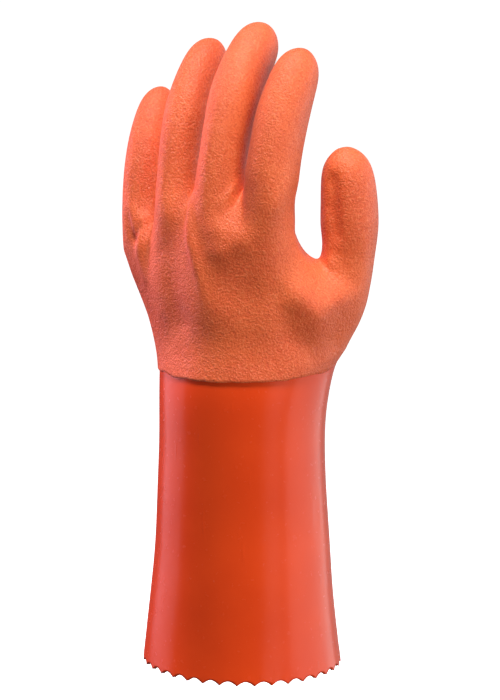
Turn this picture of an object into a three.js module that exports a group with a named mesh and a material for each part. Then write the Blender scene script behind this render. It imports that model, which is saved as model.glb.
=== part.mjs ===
// Long PVC work glove for the left hand, standing open on its hem with the fingers up.
// Two dipped coats: a smooth base glove from fingertips to hem, hollow for the hand and forearm, and a
// rough grip coat over the hand alone, whose edge stands proud at the wrist.
// Millimetres, +Z up the arm, +X to the thumb, +Y to the palm, so -Y is the back of the hand.
// The origin is the middle of the hem opening, level with the points of the pinked edge.

import * as THREE from "three";

const degrees = THREE.MathUtils.degToRad;
const { lerp, smoothstep } = THREE.MathUtils;

// Walls
const WALL = 1.3; // liner and smooth coat together
const COAT = 0.6; // rough grip coat
const COAT_GAP = 0.3; // between the two coats

// Gauntlet
const CUFF_LENGTH = 140; // points of the hem to the edge of the grip coat
const HEM_WIDTH = 96;
const HEM_DEPTH = 90;
const WRIST_WIDTH = 80;
const WRIST_DEPTH = 72;

// Pinked hem
const TOOTH_COUNT = 36;
const TOOTH_DEPTH = 2.1;
const HEM_BAND = 6; // height above the points where the plain wall ends and the teeth begin to shape it

// Hand
const HAND_LEFT = 9; // how far the row of knuckles sits to the little finger's side of the arm's axis
const HAND_BACK = 17; // how far it sits towards the back of the hand
const WEB_GAP = 2.6; // between neighbouring fingers
const BACK_DROP = 18; // how far the skin between two fingers slopes down to the back of the hand
const PALM_DROP = 4; // and to the palm
const OUTER_DROP = 5; // the same at the free flanks of the forefinger and the little finger

const PALM_LENGTH = 86; // wrist to the highest web

// Fingers, from the forefinger to the little finger, as shares of these sizes. arch: how far its root lies
// behind the row of knuckles, as a share of the depth; flex: lean to the palm at root and tip; spread: lean
// to the thumb's side at root and tip. Both in degrees.
const FINGER_LENGTH = 85.5;
const FINGER_WIDTH = 22.5;
const FINGER_DEPTH = 26;
const FINGER_SHARES = [
  { name: "index", width: 1.03, depth: 1, length: 0.801, arch: -0.096, flex: [4, 36], spread: [0.7, 5.6] },
  { name: "middle", width: 1.01, depth: 1, length: 1, arch: 0.173, flex: [4, 53], spread: [3.3, -2.2] },
  { name: "ring", width: 0.92, depth: 0.962, length: 0.994, arch: 0.077, flex: [4, 48], spread: [-3, -1] },
  { name: "little", width: 0.822, depth: 0.846, length: 0.836, arch: -0.192, flex: [4, 43], spread: [-10, -7] },
];
// Heights above the wrist of the forefinger's free flank, of the three webs, and of the little finger's, as
// shares of PALM_LENGTH.
const FLANK_SHARES = [0.977, 1, 0.953, 0.779, 0.663];
const TIP_LENGTH = 16; // of a rounded end
const TIP_TAPER = 0.86; // width where the rounded end starts, against the root's
const TAPER_POWER = 2.2; // above 1, a finger stays wide for longer above its root

// Thumb. It leans outwards at its root and back in at its tip.
const THUMB_LENGTH = 75;
const THUMB_WIDTH = 27;
const THUMB_DEPTH = 25.5;
const THUMB_LEANS = { flex: [15, -11], spread: [0, 0] };
const THUMB_ROOT = { x: 0.519, y: 0.236, up: 0.349 }; // of WRIST_WIDTH, WRIST_DEPTH and PALM_LENGTH
const THUMB_TURN = 24; // direction of its lean, from straight sideways towards the palm, in degrees
const BALL_HEIGHT = 22; // how far the ball of the thumb stands out of the arm's round
const BALL_TURN = 32; // its direction, from straight sideways towards the palm, in degrees
const BALL_SPREAD = 50; // angle off that direction at which it has sunk to a third, in degrees

const FINGERS = FINGER_SHARES.map((finger) => ({
  ...finger,
  width: finger.width * FINGER_WIDTH,
  depth: finger.depth * FINGER_DEPTH,
  length: finger.length * FINGER_LENGTH,
  arch: finger.arch * FINGER_DEPTH,
}));
const FLANK_HEIGHTS = FLANK_SHARES.map((share) => share * PALM_LENGTH);
const THUMB = { width: THUMB_WIDTH, depth: THUMB_DEPTH, length: THUMB_LENGTH, ...THUMB_LEANS };

// The net that covers the glove: a finger has 4 columns on its back, 4 on its palm side and 4 on each
// flank, so that the arm has 40. The thumb grows out of a hole of 4 columns by 4 rows.
const FLANK = 4; // an even number
const SIDES = 4 * FLANK;
const COLUMNS = 2 * FLANK * FINGERS.length + 2 * FLANK;
const THUMB_TOP_ROW = 3; // counted down from the knuckles
const THUMB_COLUMN = 2; // first column of the thumb's hole
const COLUMN_TURN = 14; // from straight sideways towards the palm, in degrees
const THUMB_SPACING = 0.3; // how much wider the columns stand on the thumb's side

// Sections of the gauntlet. up: share of CUFF_LENGTH above the hem; flare: share of the way from the
// wrist's width and depth to the hem's; ball: share of BALL_HEIGHT.
const CUFF_SECTIONS = [
  { up: 0, flare: 1, ball: 0 },
  { up: 0.2, flare: 0.6, ball: 0 },
  { up: 0.4, flare: 0.31, ball: 0 },
  { up: 0.6, flare: 0.11, ball: 0 },
  { up: 0.8, flare: 0.02, ball: 0 },
  { up: 0.9, flare: 0, ball: 0.05 },
  { up: 1, flare: 0, ball: 0.18 },
];

// Rows of the hand, from the wrist to the knuckles. up: share of the way up to the knuckles; join: share
// of the way from the wrist's outline to the knuckles'; ridge: share of the fingers' ridges that stays in
// that outline; ball: share of BALL_HEIGHT.
const HAND_ROWS = [
  { up: 0, join: 0, ridge: 0, ball: 0.18 },
  { up: 0.08, join: 0.04, ridge: 0, ball: 0.5 },
  { up: 0.16, join: 0.1, ridge: 0, ball: 0.88 },
  { up: 0.25, join: 0.18, ridge: 0, ball: 1.22 },
  { up: 0.35, join: 0.27, ridge: 0.08, ball: 1.22 },
  { up: 0.46, join: 0.37, ridge: 0.22, ball: 0.86 },
  { up: 0.56, join: 0.48, ridge: 0.42, ball: 0.24 },
  { up: 0.7, join: 0.64, ridge: 0.64, ball: -0.3 },
  { up: 0.85, join: 0.82, ridge: 0.84, ball: -0.2 },
  { up: 1, join: 1, ridge: 1, ball: 0 },
];

// Rows of a finger or thumb: shares of its length before the rounded end, then angles round that end.
const SHAFT_ROWS = [0.07, 0.2, 0.34, 0.5, 0.66, 0.83, 1];
const DOME_ROWS = [28, 52, 73];
const ROOT_FADE = 0.7; // share of the length over which a sloping root, or the thumb's, fades out
const WEB_FADE = 0.12; // the same for the narrowing of a finger at its webs
const FADE_POWER = 1.5;
const AXIS_STEPS = 40; // straight steps of a finger's bent axis
const CUFF_ROWS = 7; // rows of the gauntlet between the grip coat's edge and the hem band
const HEM_STEPS = 4 * TOOTH_COUNT; // steps round the pinked edge

// Softening of the forks: how many steps away it reaches, what is left of it after each, and how many times
// it is done.
const SOFT_REACH = 4;
const SOFT_FADE = 0.7;
const SOFT_PASSES = 18;
const SOFT_STEP = 0.5; // share of the way to the neighbours' middle in one pass
const WEB_SOFTNESS = 0.8; // of the webs between fingers, against the thumb's

const LONGEST_OFFSET = 1.15; // at a sharp edge, against the offset of a flat wall

// A smooth curve through the rows of a table, for each of its columns.
function tableCurve(rows) {
  const names = Object.keys(rows[0]).filter((name) => name !== "up");
  const curve = new THREE.CubicInterpolant(
    rows.map((row) => row.up),
    rows.flatMap((row) => names.map((name) => row[name])),
    names.length,
  );
  return (up) => {
    const values = curve.evaluate(up);
    return Object.fromEntries(names.map((name, i) => [name, values[i]]));
  };
}

const cuffAt = tableCurve(CUFF_SECTIONS);
const knuckleWidth =
  FINGERS.reduce((sum, finger) => sum + finger.width, 0) + WEB_GAP * (FINGERS.length - 1);

// How far the ball of the thumb pushes the arm's outline out, at a share of its height and an angle from
// the thumb's side (+X) towards the palm.
function ballPush(share, angle) {
  const turn = degrees(BALL_TURN);
  const off = (angle - turn) / degrees(BALL_SPREAD);
  const push = BALL_HEIGHT * share * Math.exp(-off * off);
  return new THREE.Vector3(push * Math.cos(turn), push * Math.sin(turn), 0);
}

// A point on the gauntlet at a height and an angle from the thumb's side towards the palm.
function cuffPoint(z, angle) {
  const { flare, ball } = cuffAt(z / CUFF_LENGTH);
  const width = lerp(WRIST_WIDTH, HEM_WIDTH, flare);
  const depth = lerp(WRIST_DEPTH, HEM_DEPTH, flare);
  const point = new THREE.Vector3((width / 2) * Math.cos(angle), (depth / 2) * Math.sin(angle), z);
  return point.add(ballPush(ball, angle));
}

// The angle of a column. The columns are turned so that the thumb's hole lies on the ball of the thumb, and
// stand wider there.
function columnAngle(column) {
  const even = ((column - FLANK / 2) * 2 * Math.PI) / COLUMNS;
  const angle = even > Math.PI ? even - 2 * Math.PI : even;
  return angle + degrees(COLUMN_TURN) * Math.cos(angle / 2) ** 2 + THUMB_SPACING * Math.sin(angle);
}

// The axis of a finger or thumb that bends in the plane of up and bent by its flex, and across it by its
// spread: its centre at a distance from its root, and the unit vectors across it.
function digitAxis(digit, root, bent, across) {
  const up = new THREE.Vector3(0, 0, 1);
  const step = digit.length / AXIS_STEPS;
  const leans = (share) => [degrees(lerp(...digit.flex, share)), degrees(lerp(...digit.spread, share))];
  const frame = (share) => {
    const [flex, spread] = leans(share);
    const stem = up.clone().multiplyScalar(Math.cos(spread)).addScaledVector(across, Math.sin(spread));
    return {
      along: stem.clone().multiplyScalar(Math.cos(flex)).addScaledVector(bent, Math.sin(flex)),
      across: across.clone().multiplyScalar(Math.cos(spread)).addScaledVector(up, -Math.sin(spread)),
      bent: bent.clone().multiplyScalar(Math.cos(flex)).addScaledVector(stem, -Math.sin(flex)),
    };
  };
  const centres = [root];
  for (let i = 0; i < AXIS_STEPS; i++) {
    centres.push(centres[i].clone().addScaledVector(frame((i + 0.5) / AXIS_STEPS).along, step));
  }
  return (distance) => {
    const i = Math.min(AXIS_STEPS - 1, Math.max(0, Math.floor(distance / step)));
    const centre = centres[i].clone().lerp(centres[i + 1], distance / step - i);
    return { centre, ...frame(Math.max(0, distance / digit.length)) };
  };
}

// A finger's axis. Its first flank is the thumb's side, and a quarter turn on is its pad.
function fingerAxis(index) {
  const finger = FINGERS[index];
  const before = FINGERS.slice(0, index).reduce((sum, other) => sum + other.width + WEB_GAP, 0);
  const root = new THREE.Vector3(
    knuckleWidth / 2 - HAND_LEFT - before - finger.width / 2,
    -HAND_BACK - finger.arch,
    CUFF_LENGTH + (FLANK_HEIGHTS[index] + FLANK_HEIGHTS[index + 1]) / 2,
  );
  const axis = digitAxis(finger, root, new THREE.Vector3(0, 1, 0), new THREE.Vector3(1, 0, 0));
  return (distance) => {
    const { centre, across, bent } = axis(distance);
    return { centre, flank: across, pad: bent };
  };
}

// The thumb's axis. Its first flank is the outer one, and a quarter turn on is its palm side.
function thumbAxis() {
  const turn = degrees(THUMB_TURN);
  const root = new THREE.Vector3(
    THUMB_ROOT.x * WRIST_WIDTH,
    THUMB_ROOT.y * WRIST_DEPTH,
    CUFF_LENGTH + THUMB_ROOT.up * PALM_LENGTH,
  );
  const outwards = new THREE.Vector3(Math.cos(turn), Math.sin(turn), 0);
  const pad = new THREE.Vector3(-Math.sin(turn), Math.cos(turn), 0);
  const axis = digitAxis(THUMB, root, outwards, pad);
  return (distance) => {
    const { centre, across, bent } = axis(distance);
    return { centre, flank: bent, pad: across };
  };
}

// A point round a finger or thumb: side counts from the middle of a flank less half a quarter turn.
function digitPoint(digit, axis, distance, side) {
  const shaft = digit.length - TIP_LENGTH;
  const past = Math.max(0, distance - shaft) / TIP_LENGTH;
  const taper = lerp(1, TIP_TAPER, THREE.MathUtils.clamp(distance / shaft, 0, 1) ** TAPER_POWER);
  const size = taper * Math.sqrt(1 - Math.min(1, past ** 2));
  const angle = ((side - FLANK / 2) * 2 * Math.PI) / SIDES;
  const { centre, flank, pad } = axis(distance);
  return centre
    .clone()
    .addScaledVector(flank, (digit.width / 2) * size * Math.cos(angle))
    .addScaledVector(pad, (digit.depth / 2) * size * Math.sin(angle));
}

// The skin of the base glove, as points and the four- or three-sided faces between them.
const points = [];
const faces = [];
const addPoint = (point) => points.push(point) - 1;
const middle = (a, b) => a.clone().add(b).multiplyScalar(0.5);

// Joins two rings of as many points, the upper one second, with four-sided faces.
function joinRings(lower, upper) {
  lower.forEach((point, i) => {
    const next = (i + 1) % lower.length;
    faces.push([point, lower[next], upper[next], upper[i]]);
  });
}

// Rows of a digit above its root ring, up to its tip. The root ring's outline fades into the digit's own:
// its slope over ROOT_FADE of the length, and its shape over shapeFade.
function growDigit(digit, axis, rootRing, shapeFade) {
  const shaft = digit.length - TIP_LENGTH;
  const distances = SHAFT_ROWS.map((share) => share * shaft);
  distances.push(...DOME_ROWS.map((angle) => shaft + TIP_LENGTH * Math.sin(degrees(angle))));
  const shiftAt = (point, side) => points[point].clone().sub(digitPoint(digit, axis, 0, side));
  const rootShift = rootRing.map(shiftAt);
  let ring = rootRing;
  for (const distance of distances) {
    const kept = (fade) => (1 - smoothstep(distance, 0, fade * digit.length)) ** FADE_POWER;
    const keptShift = new THREE.Vector3(kept(shapeFade), kept(shapeFade), kept(ROOT_FADE));
    const above = rootShift.map((shift, side) =>
      addPoint(digitPoint(digit, axis, distance, side).add(shift.clone().multiply(keptShift))),
    );
    joinRings(ring, above);
    ring = above;
  }
  const tip = addPoint(axis(digit.length).centre);
  ring.forEach((point, i) => faces.push([point, ring[(i + 1) % SIDES], tip]));
}

// How far above a finger's root centre its root ring lies at a side: the two flanks end at their own
// heights, and the ring drops towards the back and the palm.
function rootRise(index, side) {
  const angle = ((side - FLANK / 2) * 2 * Math.PI) / SIDES;
  const [near, far] = [FLANK_HEIGHTS[index], FLANK_HEIGHTS[index + 1]];
  const farShare = (1 - Math.cos(angle)) / 2;
  const nearDrop = index === 0 ? OUTER_DROP : BACK_DROP;
  const farDrop = index === FINGERS.length - 1 ? OUTER_DROP : BACK_DROP;
  const drop = Math.sin(angle) < 0 ? lerp(nearDrop, farDrop, farShare) : PALM_DROP;
  return (near - far) * (0.5 - farShare) - drop * Math.min(1, Math.abs(Math.sin(angle)) * Math.SQRT2);
}

// The knuckles: one ring of points round the hand, and the webs, the chains of points that cross that ring
// between two fingers, from the back to the palm.
const axes = FINGERS.map((finger, index) => fingerAxis(index));
const knuckles = new Array(COLUMNS);
const webs = [];

function rootPoint(index, side) {
  const point = digitPoint(FINGERS[index], axes[index], 0, side);
  point.z += rootRise(index, side);
  return point;
}

// The columns of the knuckles at which a finger's palm side starts and its back starts.
const palmStart = (index) => FLANK * (index + 1);
const backStart = (index) => COLUMNS - FLANK * (index + 1);

// A finger's own points of the knuckles: its palm side, its back, and the free flank of an outer finger.
function addKnuckles(index) {
  const first = index === 0;
  const last = index === FINGERS.length - 1;
  const nearSides = first ? 0 : FLANK + 1;
  const farSides = last ? 3 * FLANK : 2 * FLANK - 1;
  for (let side = nearSides; side <= farSides; side++) {
    knuckles[palmStart(index) + side - FLANK] = addPoint(rootPoint(index, side));
  }
  for (let side = 3 * FLANK + 1; side < SIDES; side++) {
    knuckles[backStart(index) + side - 3 * FLANK] = addPoint(rootPoint(index, side));
  }
}

// The web to the next finger: this finger's far flank and the next finger's near flank meet halfway.
function addWeb(index) {
  const web = [];
  for (let step = 0; step <= FLANK; step++) {
    web.push(addPoint(middle(rootPoint(index, 3 * FLANK - step), rootPoint(index + 1, step))));
  }
  knuckles[backStart(index)] = web[0];
  knuckles[palmStart(index + 1)] = web[FLANK];
  webs.push(web);
}

FINGERS.forEach((finger, index) => addKnuckles(index));
FINGERS.slice(1).forEach((finger, index) => addWeb(index));

// The ring of points at a finger's root: near flank, palm side, far flank, back.
function rootRing(index) {
  const near = index === 0 ? knuckles.slice(0, FLANK + 1) : webs[index - 1];
  const palm = knuckles.slice(palmStart(index) + 1, palmStart(index + 1));
  const last = index === FINGERS.length - 1;
  const far = last ? knuckles.slice(palmStart(index + 1), backStart(index) + 1) : [...webs[index]].reverse();
  const back = knuckles.slice(backStart(index) + 1, backStart(index) + FLANK);
  return [...near, ...palm, ...far, ...back];
}
FINGERS.forEach((finger, index) => growDigit(finger, axes[index], rootRing(index), WEB_FADE));

// The knuckles' outline at a column without the fingers' ridges: its mean over one finger's width.
function evenKnuckle(column) {
  const at = (offset) => points[knuckles[(column + offset + COLUMNS) % COLUMNS]];
  const half = FLANK / 2;
  const mean = middle(at(-half), at(half));
  for (let offset = 1 - half; offset < half; offset++) mean.add(at(offset));
  return mean.divideScalar(FLANK);
}

// A point of the hand at a row of HAND_ROWS.
function handPoint({ up, join, ridge, ball }, column) {
  const angle = columnAngle(column);
  const knuckle = points[knuckles[column]];
  const wrist = cuffPoint(CUFF_LENGTH, angle).sub(ballPush(HAND_ROWS[0].ball, angle));
  const point = wrist.lerp(evenKnuckle(column).lerp(knuckle, ridge), join);
  point.z = lerp(CUFF_LENGTH, knuckle.z, up);
  return point.add(ballPush(ball, angle));
}

// The rows of the hand, from the knuckles down to the wrist.
const handRow = (row) => knuckles.map((_, column) => addPoint(handPoint(row, column)));
const rows = [...HAND_ROWS.slice(0, -1).map(handRow), knuckles].reverse();

// The thumb's hole leaves out a patch of the hand.
const thumbBottomRow = THUMB_TOP_ROW + FLANK;
const thumbLastColumn = THUMB_COLUMN + FLANK;
const inThumbHole = (row, column) =>
  row >= THUMB_TOP_ROW && row < thumbBottomRow && column >= THUMB_COLUMN && column < thumbLastColumn;
const wristRow = rows.length - 1;
for (let row = 0; row < wristRow; row++) {
  for (let column = 0; column < COLUMNS; column++) {
    if (inThumbHole(row, column)) continue;
    const next = (column + 1) % COLUMNS;
    faces.push([rows[row + 1][column], rows[row + 1][next], rows[row][next], rows[row][column]]);
  }
}
const hole = [];
for (let i = 0; i < FLANK; i++) hole.push(rows[thumbBottomRow][THUMB_COLUMN + i]);
for (let i = 0; i < FLANK; i++) hole.push(rows[thumbBottomRow - i][thumbLastColumn]);
for (let i = 0; i < FLANK; i++) hole.push(rows[THUMB_TOP_ROW][thumbLastColumn - i]);
for (let i = 0; i < FLANK; i++) hole.push(rows[THUMB_TOP_ROW + i][THUMB_COLUMN]);
growDigit(THUMB, thumbAxis(), hole, ROOT_FADE);
const handFaces = faces.length; // the faces so far are the hand's, and the grip coat covers them

// The gauntlet, row by row down to the hem band.
let band = rows[wristRow];
for (let row = 1; row <= CUFF_ROWS; row++) {
  const z = lerp(CUFF_LENGTH, HEM_BAND, row / CUFF_ROWS);
  const below = band.map((_, column) => addPoint(cuffPoint(z, columnAngle(column))));
  joinRings(below, band);
  band = below;
}

// The pinked edge: round bites that meet in points.
const hemTurn = (step) => (2 * Math.PI * step) / HEM_STEPS;
const hem = Array.from({ length: HEM_STEPS }, (_, step) => {
  const z = TOOTH_DEPTH * Math.abs(Math.sin((Math.PI * step * TOOTH_COUNT) / HEM_STEPS));
  return addPoint(cuffPoint(z, columnAngle(0) + hemTurn(step)));
});

// Joins the few points of the band to the many of the edge, going round both at the same pace.
const bandTurn = (column) => {
  const turn = columnAngle(column % COLUMNS) - columnAngle(0);
  return turn < 0 || column === COLUMNS ? turn + 2 * Math.PI : turn;
};
for (let upper = 0, lower = 0; upper < COLUMNS || lower < HEM_STEPS; ) {
  const [a, b] = [band[upper % COLUMNS], hem[lower % HEM_STEPS]];
  const upperMiddle = upper < COLUMNS ? middleTurn(bandTurn, upper) : Infinity;
  const lowerMiddle = lower < HEM_STEPS ? middleTurn(hemTurn, lower) : Infinity;
  if (upperMiddle < lowerMiddle) {
    faces.push([b, band[(upper + 1) % COLUMNS], a]);
    upper++;
  } else {
    faces.push([b, hem[(lower + 1) % HEM_STEPS], a]);
    lower++;
  }
}

function middleTurn(turnAt, place) {
  return (turnAt(place) + turnAt(place + 1)) / 2;
}

// The points that share an edge with each point.
const neighbours = points.map(() => new Set());
for (const face of faces) {
  face.forEach((point, i) => {
    neighbours[point].add(face[(i + 1) % face.length]);
    neighbours[point].add(face[(i + face.length - 1) % face.length]);
  });
}

// How soft each point is: most at a web or the thumb's hole, less with each step away.
function forkSoftness() {
  const softness = points.map(() => 0);
  for (const point of webs.flat()) softness[point] = WEB_SOFTNESS;
  for (const point of hole) softness[point] = 1;
  for (let reach = 0; reach < SOFT_REACH; reach++) {
    const before = [...softness];
    neighbours.forEach((around, point) => {
      for (const other of around) softness[point] = Math.max(softness[point], before[other] * SOFT_FADE);
    });
  }
  return softness;
}

// Moves the soft points of the hand towards the middle of their neighbours.
function softenForks() {
  const softness = forkSoftness();
  for (let pass = 0; pass < SOFT_PASSES; pass++) {
    const before = points.map((point) => point.clone());
    neighbours.forEach((around, point) => {
      if (softness[point] === 0 || before[point].z <= CUFF_LENGTH) return;
      const mean = [...around].reduce((sum, other) => sum.add(before[other]), new THREE.Vector3());
      points[point].lerp(mean.divideScalar(around.size), softness[point] * SOFT_STEP);
    });
  }
}
softenForks();

function faceNormal(face) {
  const [a, b, c] = face.map((point) => points[point]);
  const d = points[face[face.length - 1]];
  return c.clone().sub(a).cross(d.clone().sub(b)).normalize();
}

// Outward offsets of one millimetre for the skin's points, longer where faces meet at an angle, so that an
// offset wall keeps its distance from each face.
const offsets = points.map(() => new THREE.Vector3());
const touching = points.map(() => []);
for (const face of faces) {
  const normal = faceNormal(face);
  for (const point of face) {
    offsets[point].add(normal);
    touching[point].push(normal);
  }
}
offsets.forEach((offset, point) => {
  offset.normalize();
  const least = Math.min(...touching[point].map((normal) => normal.dot(offset)));
  offset.multiplyScalar(1 / Math.max(least, 1 / LONGEST_OFFSET));
});

// A closed wall between two offsets of some of the skin's faces, open where the skin is.
function wall(skinFaces, inner, outer) {
  const corners = [];
  const layer = (distance) => (point) => points[point].clone().addScaledVector(offsets[point], distance);
  const [inside, outside] = [layer(inner), layer(outer)];
  const triangle = (...three) => three.forEach(({ x, y, z }) => corners.push(x, y, z));
  const edges = new Map();
  for (const face of skinFaces) {
    for (let i = 1; i < face.length - 1; i++) {
      const [a, b, c] = [face[0], face[i], face[i + 1]];
      triangle(outside(a), outside(b), outside(c));
      triangle(inside(a), inside(c), inside(b));
    }
    face.forEach((from, i) => {
      const to = face[(i + 1) % face.length];
      if (!edges.delete(`${to} ${from}`)) edges.set(`${from} ${to}`, [from, to]);
    });
  }
  for (const [from, to] of edges.values()) {
    triangle(outside(to), outside(from), inside(from));
    triangle(outside(to), inside(from), inside(to));
  }
  const geometry = new THREE.BufferGeometry();
  geometry.setAttribute("position", new THREE.Float32BufferAttribute(corners, 3));
  geometry.computeVertexNormals();
  return geometry;
}

function namedMesh(name, geometry, material) {
  const mesh = new THREE.Mesh(geometry, new THREE.MeshStandardMaterial(material));
  mesh.name = name;
  return mesh;
}

const baseWall = wall(faces, -WALL, 0);
const coatWall = wall(faces.slice(0, handFaces), COAT_GAP, COAT_GAP + COAT);
const glove = new THREE.Group();
glove.add(
  namedMesh("base_glove", baseWall, { color: 0xc93a1e, roughness: 0.35, metalness: 0 }),
  namedMesh("grip_coat", coatWall, { color: 0xea6a43, roughness: 0.75, metalness: 0 }),
);

export default glove;
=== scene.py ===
"""The looks of a long PVC work glove: a glossy gauntlet under a rough grip coat, on a pale studio floor."""

import math

import bmesh
import bpy
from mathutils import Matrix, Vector, noise


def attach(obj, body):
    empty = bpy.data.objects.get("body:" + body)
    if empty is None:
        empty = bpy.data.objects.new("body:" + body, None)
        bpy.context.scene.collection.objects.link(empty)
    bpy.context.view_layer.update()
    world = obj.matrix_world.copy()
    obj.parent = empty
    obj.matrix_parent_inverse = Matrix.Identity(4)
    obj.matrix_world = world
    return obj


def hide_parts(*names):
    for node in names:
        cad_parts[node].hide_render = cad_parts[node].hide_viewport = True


MM = 0.001

# Camera, as in the photograph
CAMERA_TARGET = Vector((0, 0, 150)) * MM
CAMERA_AZIMUTH = 35  # from straight behind the back of the hand towards the thumb, in degrees
CAMERA_ELEVATION = 10.5
CAMERA_DISTANCE = 1400 * MM
CAMERA_LENS = 154.5
CAMERA_SHIFT = (0.0114, -0.0029)
CAMERA_SIGHT = 100  # how far the camera sees, in metres

# Parts of the glove, as the solid model has them
CUFF_LENGTH = 140 * MM  # hem to the edge of the grip coat
HEM_BAND = 3.5 * MM  # height of the pinked teeth and the wall's edge
COAT_EDGE_BAND = 3 * MM  # height of the grip coat's own edge
WALL_EDGE_FACING = -0.5  # a face of an open edge looks down at least this far

# Fineness of the skin
SKIN_LEVELS = 2
FULLNESS = 0.9  # share that is given back of what the smoothing takes off
HEM_CREASE = 1.0
COAT_CREASE = 0.55
TOOTH_POINT_CREASE = 1.0
TOOTH_POINT = 0.25 * MM  # how near the hem's level the point of a tooth lies
MERGE = 0.01 * MM
FLAT_ENOUGH = math.radians(60)  # two triangles of one quad may meet at up to this angle
SQUARE_ENOUGH = math.radians(70)  # and its corners may differ by this much
SHARP_ANGLE = math.radians(50)  # an edge that turns more than this isn't shaded smooth
INSIDE_MATERIAL = 1  # place of the inside's material among those of the base glove


def form(rise, reach, out, line, head=1, tail=1, edge=2):
    """A low swelling of the skin along a line, or a hollow if rise is below zero; lengths in millimetres.

    reach: distance from the line at which the form has sunk to about a third; out: the way it stands out;
    head and tail: share of the rise left at the line's ends; edge: 2 for a soft flank, more for a firm one.
    """
    return {
        "push": Vector(out).normalized() * rise * MM,
        "reach": reach * MM,
        "line": [Vector(point) * MM for point in line],
        "head": head,
        "tail": tail,
        "edge": edge,
    }


# Relief of the hand
BACKWARD = (0.1, -1, 0)
THUMBWARD = (0.85, -0.5, 0)
LITTLEWARD = (-0.2, -1, 0)
ALONG_WIDTH = (1, 0, 0)
INTO_THUMB_GAP = (-0.9, 0, -0.3)
TO_MIDDLE_FINGER = (-0.5, -0.85, 0)
RELIEF = [
    # Ridge under the gap of middle and ring finger
    form(rise=3.6, reach=2.9, out=LITTLEWARD, head=0.6, tail=0, line=[
        (-8, -27, 222), (-7, -29.6, 215), (-5.8, -31.4, 208), (-3.4, -33.1, 200), (0, -34.2, 189),
        (3.5, -34.8, 174),
    ]),
    # Ridge under the gap of ring and little finger
    form(rise=3.6, reach=3.2, out=LITTLEWARD, tail=0.2, line=[
        (-41, -18, 210), (-41, -21, 202), (-41, -22.8, 194), (-38, -24.5, 182),
    ]),
    # Hollow between these ridges
    form(rise=-2.0, reach=7.0, out=BACKWARD, head=0.6, tail=0.8, line=[
        (-20, -30.4, 196), (-18, -31.7, 189), (-16, -33, 176), (-13, -34.3, 166),
    ]),
    # Pouch under the ring finger
    form(rise=1.2, reach=6.0, out=BACKWARD, line=[(-21, -28, 219), (-20.5, -29, 215)]),
    # Pouch under the little finger
    form(rise=1.6, reach=3.6, out=LITTLEWARD, line=[(-47, -20, 213), (-46, -21, 206)]),
    # Crease round that pouch
    form(rise=-1.2, reach=2.0, out=LITTLEWARD, line=[
        (-50.2, -21, 210), (-47, -21.6, 202), (-44, -21.8, 199.5), (-41.8, -19.5, 206),
    ]),
    # Pouch under middle and forefinger
    form(rise=2.6, reach=6.6, out=BACKWARD, line=[(9.6, -29.5, 209), (17.5, -28, 206), (11, -30.6, 202)]),
    # Hollow below that pouch
    form(rise=-1.3, reach=9.5, out=BACKWARD, line=[(11, -31.5, 183), (21, -28.4, 180)]),
    # Slack above the wrist
    form(rise=-3.8, reach=18.0, out=BACKWARD, line=[(-16, -34, 155), (32, -26, 155)]),
    # Fold in the gap of middle and forefinger
    form(rise=1.7, reach=2.0, out=BACKWARD, tail=0.5, line=[
        (12.5, -21, 230), (11.5, -25, 226), (9, -28.6, 221),
    ]),
    # Groove beside that fold
    form(rise=-1.2, reach=1.9, out=BACKWARD, tail=0.4, line=[
        (15.8, -21.7, 226), (17.8, -24.6, 220), (18.6, -27, 213),
    ]),
    # Ball of the thumb
    form(rise=3.0, reach=7.6, out=THUMBWARD, line=[(40, -11, 179), (44, -5, 173), (49, 5, 178)]),
    # Hollow round the ball
    form(rise=-1.7, reach=6.4, out=THUMBWARD, head=0.5, line=[
        (34, -18, 180), (37, -16, 162), (44, -6, 154), (49, 4, 157),
    ]),
    # Bump at the thumb's root
    form(rise=1.3, reach=2.8, out=BACKWARD, line=[(44.5, 6.3, 194.5), (45.5, 6.5, 193)]),
    # Hollow along the thumb
    form(rise=-1.6, reach=3.4, out=BACKWARD, line=[(45, 7.6, 231), (46, 6.8, 220), (47.5, 6.6, 207)]),
    # Wide bend between forefinger and thumb
    form(rise=2.2, reach=6.0, out=INTO_THUMB_GAP, line=[(33, -3, 206), (36, 1, 199)]),
    # Upright crease in the gauntlet
    form(rise=-0.45, reach=0.8, out=ALONG_WIDTH, head=0.4, tail=0.2, line=[
        (40.8, 1.5, 85), (41, 2.1, 79), (41.2, 1.4, 73), (41.5, 2.3, 66),
    ]),
    # Small crease above it
    form(rise=-0.25, reach=0.8, out=ALONG_WIDTH, head=0.5, tail=0.5, line=[(40, 0.2, 101), (40.2, 0.5, 93)]),
    # Lean of the forefinger to the middle finger
    form(rise=2.6, reach=12.8, out=TO_MIDDLE_FINGER, head=0, tail=0.1, edge=8, line=[
        (26, -15, 206), (26.5, -13, 236), (28, -8, 266),
    ]),
]
RELIEF_CUT = 3  # a point that lies more reaches than this from a line isn't moved by its form

# Unevenness of a dipped skin
SKIN_WAVE = 0.35 * MM
SKIN_WAVE_LENGTH = 34 * MM
OUTWARD_WIDTH = 0.45  # the hand is broad and flat, so its skin stands out less to the sides

# The grip coat's lower edge
EDGE_WAVE = 0.9 * MM
EDGE_WAVE_LENGTH = 11 * MM
EDGE_WAVE_FALL = 1.0  # how fast the finer waves grow lower
EDGE_WAVE_STEP = 2.0  # how much finer each set of waves is than the one before
EDGE_WAVE_SETS = 3
EDGE_LIFT = 3.6 * MM  # how much higher the edge lies at the thumb's side
EDGE_LIFT_POWER = 3  # more keeps the lift closer to that side
THUMB_SIDE = Vector((0.82, 0.57, 0))
EDGE_REACH = 11 * MM  # height over which waves and lift fade


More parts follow.
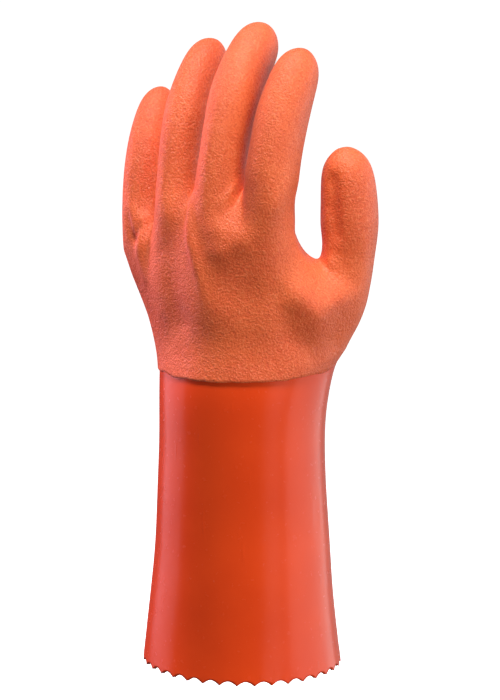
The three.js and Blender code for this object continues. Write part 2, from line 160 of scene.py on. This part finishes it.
def colour(red, green, blue):
    """A colour as it shows on a screen, 0 to 255, for a socket."""

    def linear(level):
        share = level / 255
        return share / 12.92 if share <= 0.04045 else ((share + 0.055) / 1.055) ** 2.4

    return (linear(red), linear(green), linear(blue), 1)


# Materials. Pairs ending in HEIGHTS say at which height of the noise, from 0 to 1, a mark begins and is full.
CLOUD_HEIGHTS = (0.2, 0.8)

# Rough grip coat
GRIP_ORANGE = colour(236, 106, 54)
GRIP_DEEP = colour(192, 56, 28)
# Painted glints: the tops of the sand grains, where the bump is highest, are painted in this paler orange
GRIP_GLINT_PAINT = colour(253, 148, 98)
GRIP_CLOUD_SIZE = 26 * MM
GRIP_CLOUDS = 0.4  # share of the deep orange in the thickest cloud
PAINTED_GLINT_SHARE = 0.4
GLINT_PAINT_HEIGHTS = (0.5, 0.7)
# Painted shade: the low places of the sand grain, where the bump sinks, are painted in the deep orange
PAINTED_PIT_SHADE = 0.45
PIT_SHADE_HEIGHTS = (0.3, 0.5)
SAND_SIZE = 0.9 * MM
SAND_DEPTH = 0.6 * MM
LUMP_SIZE = 4.5 * MM
LUMP_DEPTH = 0.3 * MM
GRIP_ROUGHNESS = 0.58
SAND_POLISH = 0.3  # how much less rough the top of a grain is
GRIP_SPECULAR = 0.45
GRIP_SHEEN = 0.13
SHEEN_ROUGHNESS = 0.45
SHEEN_PINK = colour(255, 180, 200)

# Smooth glossy coat
GLOSS_RED = colour(230, 72, 24)
GLOSS_DEEP = colour(208, 55, 16)
GLOSS_PALE = colour(222, 96, 70)
GLOSS_CLOUD_SIZE = 38 * MM
GLOSS_CLOUDS = 0.5
DUST_SIZE = 1.3 * MM
DUST_HEIGHTS = (0.74, 0.82)
GLOSS_DUST = 0.5
MOTTLE_SIZE = 3 * MM
MOTTLE_DEPTH = 0.05 * MM
MOTTLE_ROUGHNESS = 0.08
CREASE_SIZE = 2.4 * MM
CREASE_STRETCH = (1, 1, 0.09)
CREASE_HEIGHTS = (0.66, 0.8)
CREASE_DEPTH = 0.08 * MM
GLOSS_ROUGHNESS = 0.22
GLOSS_SPECULAR = 0.3

# Knitted inside
LINER = colour(214, 120, 88)
ROW_SIZE = 1.6 * MM
ROW_STRETCH = (1, 1, 0.3)
ROW_DEPTH = 0.3 * MM
LINER_ROUGHNESS = 0.85

# Studio
WHITE = (1, 1, 1, 1)
FLOOR_PALE = (0.86, 0.86, 0.86, 1)
FLOOR_SIZE = 14
FLOOR_GAP = 300 * MM  # the glove is held up above the floor
FLOOR_GLOW = 1.0
FLOOR_SPECULAR = 0.1
BACKDROP_RADIUS = 20
BACKDROP_SEGMENTS = 32
BACKDROP_RINGS = 16
BACKDROP_GLOW = 1.0
STAGE_ROUGHNESS = 0.9
WORLD_LEVEL = 0.09

# Lights, in metres and watts. Azimuths are counted from the camera to its right; matt and gloss say whether a
# light shows in the soft shading and in the reflections.
LIGHTS = [
    {"name": "top key", "azimuth": -10, "elevation": 74, "distance": 1.3, "width": 0.35, "height": 0.35,
     "power": 22, "tint": (1, 1, 1), "matt": True, "gloss": True},
    {"name": "right soft light", "azimuth": 74, "elevation": 8, "distance": 1.2, "width": 0.9, "height": 1.0,
     "power": 5, "tint": (1, 0.98, 0.97), "matt": True, "gloss": False},
    {"name": "left rim light", "azimuth": -119, "elevation": 16, "distance": 1.2, "width": 0.3, "height": 0.8,
     "power": 17, "tint": (1, 0.62, 0.82), "matt": True, "gloss": False},
    {"name": "left panel", "azimuth": -112, "elevation": 12, "distance": 1.1, "width": 0.9, "height": 1.2,
     "power": 7, "tint": (1, 0.72, 0.86), "matt": False, "gloss": True},
    {"name": "front fill", "azimuth": 32, "elevation": 2, "distance": 1.4, "width": 0.6, "height": 0.8,
     "power": 8.5, "tint": (1, 1, 1), "matt": True, "gloss": False},
    {"name": "back light", "azimuth": 180, "elevation": 30, "distance": 1.5, "width": 0.9, "height": 0.9,
     "power": 9, "tint": (1, 1, 1), "matt": True, "gloss": False},
    {"name": "right panel", "azimuth": 92, "elevation": 0, "distance": 1, "width": 1.75, "height": 1.1,
     "power": 14.5, "tint": (1, 0.97, 0.97), "matt": False, "gloss": True},
    {"name": "right edge panel", "azimuth": 152, "elevation": 0, "distance": 1, "width": 0.75, "height": 1.1,
     "power": 0.9, "tint": (1, 0.97, 0.97), "matt": False, "gloss": True},
]

# Sockets of a Mix node that mixes colours
MIX_SHARE, MIX_LOW, MIX_HIGH = 0, 6, 7
MIXED_COLOUR = 2


class Value:
    """A socket that holds one number; arithmetic on it adds Math nodes."""

    def __init__(self, shader, socket):
        self.shader = shader
        self.socket = socket

    def math(self, operation, first, second):
        return self.shader.value("ShaderNodeMath", {"operation": operation}, {0: first, 1: second})

    def __add__(self, other):
        return self.math("ADD", self, other)

    __radd__ = __add__

    def __mul__(self, other):
        return self.math("MULTIPLY", self, other)

    __rmul__ = __mul__

    def __sub__(self, other):
        return self.math("SUBTRACT", self, other)

    def __rsub__(self, other):
        return self.math("SUBTRACT", other, self)

    def step(self, low, high):
        """Rises smoothly from 0 at low to 1 at high."""
        settings = {"interpolation_type": "SMOOTHSTEP"}
        sockets = {"Value": self, "From Min": low, "From Max": high}
        return self.shader.value("ShaderNodeMapRange", settings, sockets)


class Shader:
    """A node tree that is filled by calls."""

    def __init__(self, tree):
        self.tree = tree
        tree.nodes.clear()

    def node(self, kind, settings, sockets):
        """A node of any kind; its sockets are given a number, a colour, or another socket to link."""
        node = self.tree.nodes.new(kind)
        for name, setting in settings.items():
            setattr(node, name, setting)
        for name, given in sockets.items():
            socket = node.inputs[name]
            if isinstance(given, Value):
                given = given.socket
            if isinstance(given, bpy.types.NodeSocket):
                self.tree.links.new(given, socket)
            else:
                socket.default_value = given
        return node

    def value(self, kind, settings, sockets):
        return Value(self, self.node(kind, settings, sockets).outputs[0])

    def blend(self, share, low, high):
        """A colour between two others."""
        sockets = {MIX_SHARE: share, MIX_LOW: low, MIX_HIGH: high}
        return self.node("ShaderNodeMix", {"data_type": "RGBA"}, sockets).outputs[MIXED_COLOUR]

    def place(self, stretch=(1, 1, 1)):
        """The place on the glove, in metres; a stretch below 1 draws a pattern out along that axis."""
        here = self.node("ShaderNodeTexCoord", {}, {}).outputs["Object"]
        return self.node("ShaderNodeMapping", {}, {"Vector": here, "Scale": stretch}).outputs[0]

    def grain(self, place, size, detail=2, roughness=0.5):
        """Soft noise from 0 to 1 with lumps of a size."""
        sockets = {"Vector": place, "Scale": 1 / size, "Detail": detail, "Roughness": roughness}
        return self.value("ShaderNodeTexNoise", {}, sockets)

    def bump(self, height, depth, below=None):
        """A normal that follows a height, on top of another normal where there is one."""
        sockets = {"Height": height, "Distance": depth, "Strength": 1.0}
        if below is not None:
            sockets["Normal"] = below
        return self.node("ShaderNodeBump", {}, sockets).outputs[0]


def new_material(name):
    material = bpy.data.materials.new(name)
    material.use_nodes = True
    return material, Shader(material.node_tree)


def finish_material(shader, sockets):
    surface = shader.node("ShaderNodeBsdfPrincipled", {}, sockets)
    shader.node("ShaderNodeOutputMaterial", {}, {"Surface": surface.outputs[0]})


def grip_material():
    """Rough dipped PVC: sandy grain with painted glints on its tops, painted shade in its pits, and a faint
    pink sheen.
    """
    material, shader = new_material("rough grip coat")
    place = shader.place()
    sand = shader.grain(place, SAND_SIZE, detail=3, roughness=0.6)
    lumps = shader.grain(place, LUMP_SIZE)
    clouds = shader.grain(place, GRIP_CLOUD_SIZE)
    body = shader.blend(clouds.step(*CLOUD_HEIGHTS) * GRIP_CLOUDS, GRIP_ORANGE, GRIP_DEEP)
    # painted glints: paler orange on the tops of the sand grains
    with_painted_glints = shader.blend(sand.step(*GLINT_PAINT_HEIGHTS) * PAINTED_GLINT_SHARE, body, GRIP_GLINT_PAINT)
    # painted shade: deep orange in the pits of the sand grain
    pit_shaded = shader.blend((1 - sand.step(*PIT_SHADE_HEIGHTS)) * PAINTED_PIT_SHADE, with_painted_glints, GRIP_DEEP)
    normal = shader.bump(sand, SAND_DEPTH, shader.bump(lumps, LUMP_DEPTH))
    finish_material(shader, {
        "Base Color": pit_shaded,
        "Roughness": GRIP_ROUGHNESS - sand * SAND_POLISH,
        "Normal": normal,
        "Specular IOR Level": GRIP_SPECULAR,
        "Sheen Weight": GRIP_SHEEN,
        "Sheen Roughness": SHEEN_ROUGHNESS,
        "Sheen Tint": SHEEN_PINK,
    })
    return material


def gloss_material():
    """Smooth dipped PVC: glossy, with faint clouds, dust specks and fine upright creases."""
    material, shader = new_material("smooth glossy coat")
    place = shader.place()
    clouds = shader.grain(place, GLOSS_CLOUD_SIZE)
    mottle = shader.grain(place, MOTTLE_SIZE, detail=3)
    creases = shader.grain(shader.place(CREASE_STRETCH), CREASE_SIZE)
    dust = shader.grain(place, DUST_SIZE, detail=1)
    body = shader.blend(clouds.step(*CLOUD_HEIGHTS) * GLOSS_CLOUDS, GLOSS_RED, GLOSS_DEEP)
    dusty = shader.blend(dust.step(*DUST_HEIGHTS) * GLOSS_DUST, body, GLOSS_PALE)
    creased = shader.bump(creases.step(*CREASE_HEIGHTS), CREASE_DEPTH)
    finish_material(shader, {
        "Base Color": dusty,
        "Roughness": mottle * MOTTLE_ROUGHNESS + GLOSS_ROUGHNESS,
        "Normal": shader.bump(mottle, MOTTLE_DEPTH, creased),
        "Specular IOR Level": GLOSS_SPECULAR,
    })
    return material


def liner_material():
    """The inside of the glove: matt, with the fine rows of a knitted liner."""
    material, shader = new_material("knitted inside")
    rows = shader.grain(shader.place(ROW_STRETCH), ROW_SIZE)
    finish_material(shader, {
        "Base Color": shader.blend(rows, LINER, GRIP_DEEP),
        "Roughness": LINER_ROUGHNESS,
        "Normal": shader.bump(rows, ROW_DEPTH),
    })
    return material


def look_from(azimuth, elevation):
    """The direction from the glove to a camera or light; azimuth 0 is straight behind the hand's back."""
    turn, rise = math.radians(azimuth), math.radians(elevation)
    return Vector((math.sin(turn) * math.cos(rise), -math.cos(turn) * math.cos(rise), math.sin(rise)))


def add_object(name, data):
    thing = bpy.data.objects.new(name, data)
    bpy.context.scene.collection.objects.link(thing)
    return thing


def aim(thing, away, distance):
    """Puts a camera or light at a distance from the glove's middle, and turns it to look there."""
    thing.location = CAMERA_TARGET + away * distance
    thing.rotation_euler = (CAMERA_TARGET - thing.location).to_track_quat("-Z", "Y").to_euler()


def add_camera():
    data = bpy.data.cameras.new("camera")
    data.lens = CAMERA_LENS
    data.shift_x, data.shift_y = CAMERA_SHIFT
    data.clip_end = CAMERA_SIGHT
    camera = add_object("camera", data)
    aim(camera, look_from(CAMERA_AZIMUTH, CAMERA_ELEVATION), CAMERA_DISTANCE)
    bpy.context.scene.camera = camera


def add_light(name, azimuth, elevation, distance, width, height, power, tint, matt, gloss):
    data = bpy.data.lights.new(name, "AREA")
    data.shape = "RECTANGLE"
    data.size, data.size_y = width, height
    data.energy = power
    data.color = tint
    light = add_object(name, data)
    light.visible_diffuse = matt
    light.visible_glossy = gloss
    aim(light, look_from(CAMERA_AZIMUTH + azimuth, elevation), distance)


def add_stage(name, bm, sockets):
    """A surface of the studio, which the camera sees and which throws no light on the glove."""
    mesh = bpy.data.meshes.new(name)
    bm.to_mesh(mesh)
    bm.free()
    thing = add_object(name, mesh)
    thing.visible_diffuse = False
    thing.visible_glossy = False
    material, shader = new_material(name)
    finish_material(shader, sockets)
    mesh.materials.append(material)
    return thing


def add_floor():
    bm = bmesh.new()
    bmesh.ops.create_grid(bm, x_segments=1, y_segments=1, size=FLOOR_SIZE)
    bmesh.ops.translate(bm, verts=bm.verts, vec=(0, 0, -FLOOR_GAP))
    add_stage("pale floor", bm, {
        "Base Color": FLOOR_PALE,
        "Roughness": STAGE_ROUGHNESS,
        "Specular IOR Level": FLOOR_SPECULAR,
        "Emission Color": WHITE,
        "Emission Strength": FLOOR_GLOW,
    })


def add_backdrop():
    bm = bmesh.new()
    bmesh.ops.create_uvsphere(
        bm, u_segments=BACKDROP_SEGMENTS, v_segments=BACKDROP_RINGS, radius=BACKDROP_RADIUS
    )
    backdrop = add_stage("white backdrop", bm, {
        "Base Color": WHITE,
        "Roughness": STAGE_ROUGHNESS,
        "Emission Color": WHITE,
        "Emission Strength": BACKDROP_GLOW,
    })
    backdrop.visible_shadow = False


def add_studio():
    """Pale floor, white backdrop, dim surroundings and soft lights."""
    add_floor()
    add_backdrop()
    world = bpy.data.worlds.new("studio")
    bpy.context.scene.world = world
    world.use_nodes = True
    shader = Shader(world.node_tree)
    background = shader.node("ShaderNodeBackground", {}, {"Color": WHITE, "Strength": WORLD_LEVEL})
    shader.node("ShaderNodeOutputWorld", {}, {"Surface": background.outputs[0]})
    for light in LIGHTS:
        add_light(**light)
    bpy.context.scene.view_settings.view_transform = "Standard"


def merged_copy(node):
    """A bmesh of a solid's mesh with its loose triangles joined to quads."""
    bm = bmesh.new()
    bm.from_mesh(node.data)
    bmesh.ops.remove_doubles(bm, verts=bm.verts, dist=MERGE)
    bmesh.ops.join_triangles(
        bm, faces=bm.faces, angle_face_threshold=FLAT_ENOUGH, angle_shape_threshold=SQUARE_ENOUGH
    )
    bm.normal_update()
    return bm


def edge_faces(bm, low, high):
    """The faces that close the wall at an open edge between two heights."""
    return [
        face
        for face in bm.faces
        if face.normal.z < WALL_EDGE_FACING and all(low <= vert.co.z <= high for vert in face.verts)
    ]


def crease_edge(bm, faces, crease):
    """Creases the rim of a band of faces."""
    layer = bm.edges.layers.float.new("crease_edge")
    closing = set(faces)
    for face in faces:
        for edge in face.edges:
            if any(other not in closing for other in edge.link_faces):
                edge[layer] = crease


def crease_points(bm, height, crease):
    """Creases the points that lie below a height."""
    layer = bm.verts.layers.float.new("crease_vert")
    for vert in bm.verts:
        if vert.co.z < height:
            vert[layer] = crease


def mark_inside(bm, closing):
    """Gives the inner layer of a wall its own material: what can't be reached from a fingertip."""
    outside = {max(bm.faces, key=lambda face: face.calc_center_median().z)}
    waiting = list(outside)
    stop = set(closing)
    while waiting:
        for edge in waiting.pop().edges:
            for face in edge.link_faces:
                if face not in outside and face not in stop:
                    outside.add(face)
                    waiting.append(face)
    for face in bm.faces:
        if face not in outside:
            face.material_index = INSIDE_MATERIAL


def subdivided(piece):
    """A new mesh: the piece's own, made fine and smooth."""
    modifier = piece.modifiers.new("fine skin", "SUBSURF")
    modifier.levels = modifier.render_levels = SKIN_LEVELS
    shown = piece.evaluated_get(bpy.context.evaluated_depsgraph_get())
    fine = bpy.data.meshes.new_from_object(shown)
    piece.modifiers.clear()
    return fine


def refined(name, bm):
    """A piece with a fine smooth skin that stays close to the solid's own points."""
    mesh = bpy.data.meshes.new(name)
    bm.to_mesh(mesh)
    bm.free()
    piece = add_object(name, mesh)
    shrunk = subdivided(piece)
    for vert, low in zip(mesh.vertices, shrunk.vertices):
        vert.co += (vert.co - low.co) * FULLNESS
    piece.data = subdivided(piece)
    bpy.data.meshes.remove(mesh)
    bpy.data.meshes.remove(shrunk)
    piece.data.name = name
    return piece


def nearest_on_line(point, line):
    """The distance from a point to a line, and how far along the line its nearest place lies, from 0 to 1."""
    nearest, place = math.inf, 0
    for index, (start, end) in enumerate(zip(line, line[1:])):
        along = end - start
        share = max(0, min(1, (point - start).dot(along) / along.length_squared))
        gap = (start + along * share - point).length
        if gap < nearest:
            nearest, place = gap, (index + share) / (len(line) - 1)
    return nearest, place


def share_along(shape, place):
    """The share of a form's rise at a place on its line: all of it in the middle, less towards the ends."""
    end = shape["head"] if place < 0.5 else shape["tail"]
    return 1 + (end - 1) * abs(2 * place - 1)


def relief(point):
    """How far, and which way, the forms of RELIEF move the skin at a point."""
    move = Vector((0, 0, 0))
    for shape in RELIEF:
        gap, place = nearest_on_line(point, shape["line"])
        gap /= shape["reach"]
        if gap < RELIEF_CUT:
            move += shape["push"] * math.exp(-(gap ** shape["edge"])) * share_along(shape, place)
    return move


def outward(point):
    """Roughly out of the hand."""
    return Vector((point.x * OUTWARD_WIDTH, point.y, 0)).normalized()


def shape_skin(piece):
    """Adds the relief and the low waves of a dipped skin, the same for both coats."""
    for vert in piece.data.vertices:
        point = vert.co.copy()
        wave = noise.noise(point / SKIN_WAVE_LENGTH) * SKIN_WAVE
        vert.co += outward(point) * wave + relief(point)


def shape_coat_edge(piece):
    """Lets the grip coat's lower edge wander, and rise towards the thumb, as a dip line does."""
    for vert in piece.data.vertices:
        fade = 1 - (vert.co.z - CUFF_LENGTH) / EDGE_REACH
        if fade <= 0:
            continue
        around = Vector((vert.co.x, vert.co.y, 0))
        waves = noise.fractal(around / EDGE_WAVE_LENGTH, EDGE_WAVE_FALL, EDGE_WAVE_STEP, EDGE_WAVE_SETS)
        thumbward = (around.normalized().dot(THUMB_SIDE) + 1) / 2
        vert.co.z += (waves * EDGE_WAVE + thumbward**EDGE_LIFT_POWER * EDGE_LIFT) * min(1, fade)


def dress(piece, *materials):
    """Smooth shading, and the piece's materials in their order."""
    mesh = piece.data
    mesh.shade_smooth()
    mesh.set_sharp_from_angle(angle=SHARP_ANGLE)
    mesh.materials.clear()
    for material in materials:
        mesh.materials.append(material)


def make_base_glove(frame):
    """The smooth glove from the hem to the fingertips, with its knitted inside."""
    bm = merged_copy(frame["nodes"]["base_glove"])
    closing = edge_faces(bm, -TOOTH_POINT, HEM_BAND)
    crease_edge(bm, closing, HEM_CREASE)
    crease_points(bm, TOOTH_POINT, TOOTH_POINT_CREASE)
    mark_inside(bm, closing)
    piece = refined("smooth_glove", bm)
    shape_skin(piece)
    dress(piece, gloss_material(), liner_material())
    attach(piece, "root")
    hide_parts("base_glove")


def make_grip_coat(frame):
    """The rough second coat over the hand, down to its wavy edge above the wrist."""
    bm = merged_copy(frame["nodes"]["grip_coat"])
    closing = edge_faces(bm, CUFF_LENGTH - COAT_EDGE_BAND, CUFF_LENGTH + COAT_EDGE_BAND)
    crease_edge(bm, closing, COAT_CREASE)
    piece = refined("rough_coat", bm)
    shape_skin(piece)
    shape_coat_edge(piece)
    dress(piece, grip_material())
    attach(piece, "root")
    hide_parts("grip_coat")


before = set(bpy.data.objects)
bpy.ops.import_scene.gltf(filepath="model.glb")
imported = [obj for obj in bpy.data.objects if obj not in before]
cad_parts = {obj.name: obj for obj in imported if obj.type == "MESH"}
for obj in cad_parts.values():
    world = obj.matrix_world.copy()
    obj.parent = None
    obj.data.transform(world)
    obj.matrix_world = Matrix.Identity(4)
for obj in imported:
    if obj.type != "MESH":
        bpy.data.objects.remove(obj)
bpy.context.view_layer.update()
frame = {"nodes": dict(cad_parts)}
add_camera()
add_studio()
make_base_glove(frame)
make_grip_coat(frame)
